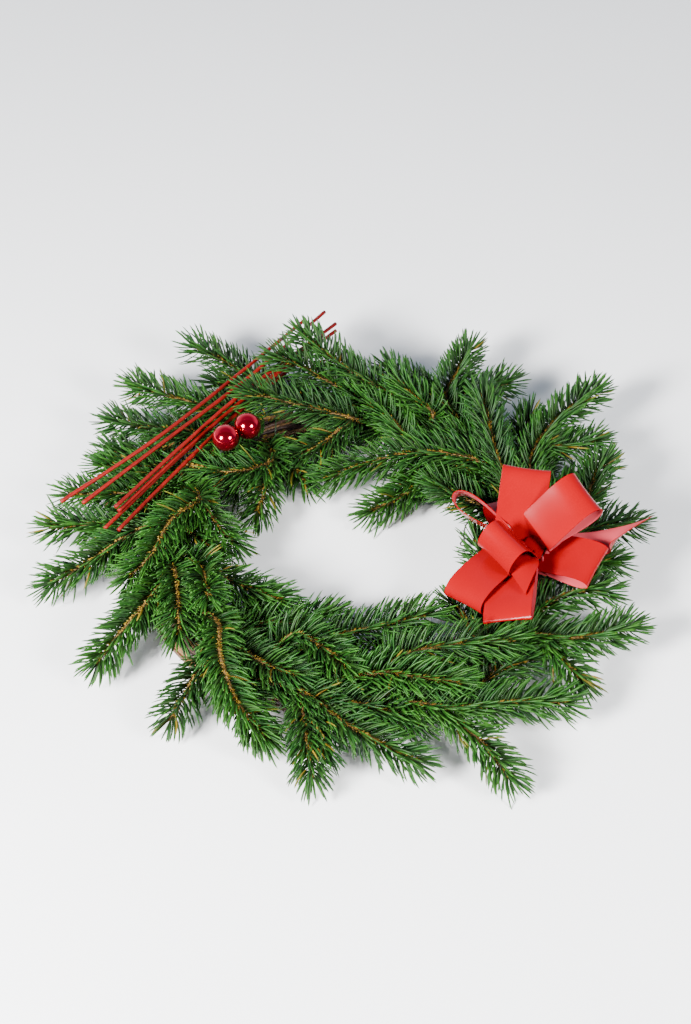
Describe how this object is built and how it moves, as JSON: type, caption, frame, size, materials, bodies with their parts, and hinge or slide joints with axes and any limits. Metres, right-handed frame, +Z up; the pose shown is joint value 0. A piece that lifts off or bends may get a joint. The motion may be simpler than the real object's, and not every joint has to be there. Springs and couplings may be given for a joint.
{
  "type": "fresh evergreen wreath",
  "caption": "Fresh spruce wreath lying flat: sprigs wired round a ring of twigs, with a red ribbon bow, shiny red balls and a fan of red sticks.",
  "frame": {"origin": "on the ground under the middle of the whole wreath's box", "axes": "+Z up out of the wreath's face, +X to the bow's side, +Y away from the viewer of the picture"},
  "size_m": [0.4592, 0.464, 0.0955],
  "materials": {
    "spruce_needles": "waxy needles",
    "twig_bark": "rough bark",
    "red_ribbon": "smooth satin",
    "red_glass": "mirrored gloss",
    "red_paint": "matt paint",
    "green_wire": "enamelled",
    "dark_wire": "dull",
    "bright_wire": "plain"
  },
  "bodies": {
    "root": {"ring_base": "twig_bark", "binding_wire": "green_wire", "bow_ribbon": "red_ribbon", "bow_wire": "dark_wire", "glass_ball_1": "red_glass", "glass_ball_2": "red_glass", "ball_wire": "bright_wire", "stick_wire": "dark_wire", "painted_stick_1": "red_paint", "painted_stick_2": "red_paint", "painted_stick_3": "red_paint", "painted_stick_4": "red_paint", "painted_stick_5": "red_paint", "painted_stick_6": "red_paint", "sprig_01": "spruce_needles", "sprig_02": "spruce_needles", "sprig_03": "spruce_needles", "sprig_04": "spruce_needles", "sprig_05": "spruce_needles", "sprig_06": "spruce_needles", "sprig_07": "spruce_needles", "sprig_08": "spruce_needles", "sprig_09": "spruce_needles", "sprig_10": "spruce_needles", "sprig_11": "spruce_needles", "sprig_12": "spruce_needles", "sprig_13": "spruce_needles", "sprig_14": "spruce_needles", "sprig_15": "spruce_needles", "sprig_16": "spruce_needles", "sprig_17": "spruce_needles", "sprig_18": "spruce_needles", "sprig_19": "spruce_needles", "sprig_20": "spruce_needles", "sprig_21": "spruce_needles", "sprig_22": "spruce_needles", "sprig_23": "spruce_needles", "sprig_24": "spruce_needles", "sprig_25": "spruce_needles", "sprig_26": "spruce_needles", "sprig_27": "spruce_needles", "sprig_28": "spruce_needles", "sprig_29": "spruce_needles", "sprig_30": "spruce_needles", "sprig_31": "spruce_needles", "sprig_32": "spruce_needles", "sprig_33": "spruce_needles", "sprig_34": "spruce_needles", "sprig_35": "spruce_needles", "sprig_36": "spruce_needles", "sprig_37": "spruce_needles", "sprig_38": "spruce_needles", "sprig_39": "spruce_needles", "sprig_40": "spruce_needles", "sprig_41": "spruce_needles", "sprig_42": "spruce_needles", "sprig_43": "spruce_needles"}
  },
  "joints": []
}
